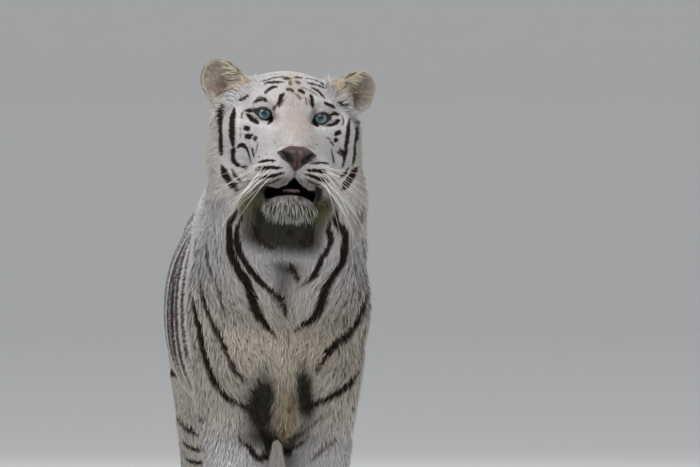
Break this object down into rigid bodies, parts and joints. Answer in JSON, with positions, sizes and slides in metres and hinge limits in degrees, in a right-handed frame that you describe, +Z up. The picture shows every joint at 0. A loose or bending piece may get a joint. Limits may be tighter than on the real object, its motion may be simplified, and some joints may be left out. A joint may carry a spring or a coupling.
{
  "type": "white tiger model",
  "caption": "Life-size museum model of a standing white tiger with raised head, slightly open mouth, dark stripes and a long curved tail.",
  "frame": {"origin": "on the floor, under the middle of the tiger's bounding box", "axes": "+Z up, +Y from the head towards the tail, +X to the tiger's left"},
  "size_m": [0.3972, 2.1112, 1.1994],
  "materials": {
    "fur": "soft short fur, cream white with dark brown stripes",
    "nose": "fine-grained, slightly moist nose leather",
    "eye": "clear glossy cornea over a pale blue iris",
    "tongue": "matt, slightly moist",
    "mouth": "dark moist lips and mouth lining",
    "whiskers": "stiff pale hairs with a soft sheen",
    "claws": "smooth horn"
  },
  "bodies": {
    "root": {"belly": "fur", "chest": "fur", "ear_left": "fur", "ear_right": "fur", "eye_left": "eye", "eye_right": "eye", "foreleg_left": "fur", "foreleg_right": "fur", "forepaw_left": "fur", "forepaw_right": "fur", "head": "fur", "hindleg_left": "fur", "hindleg_right": "fur", "hindpaw_left": "fur", "hindpaw_right": "fur", "lower_jaw": "fur", "neck": "fur", "nose": "nose", "rump": "fur", "tail_base": "fur", "tail_middle": "fur", "tail_tip": "fur", "tongue": "tongue"}
  },
  "joints": []
}
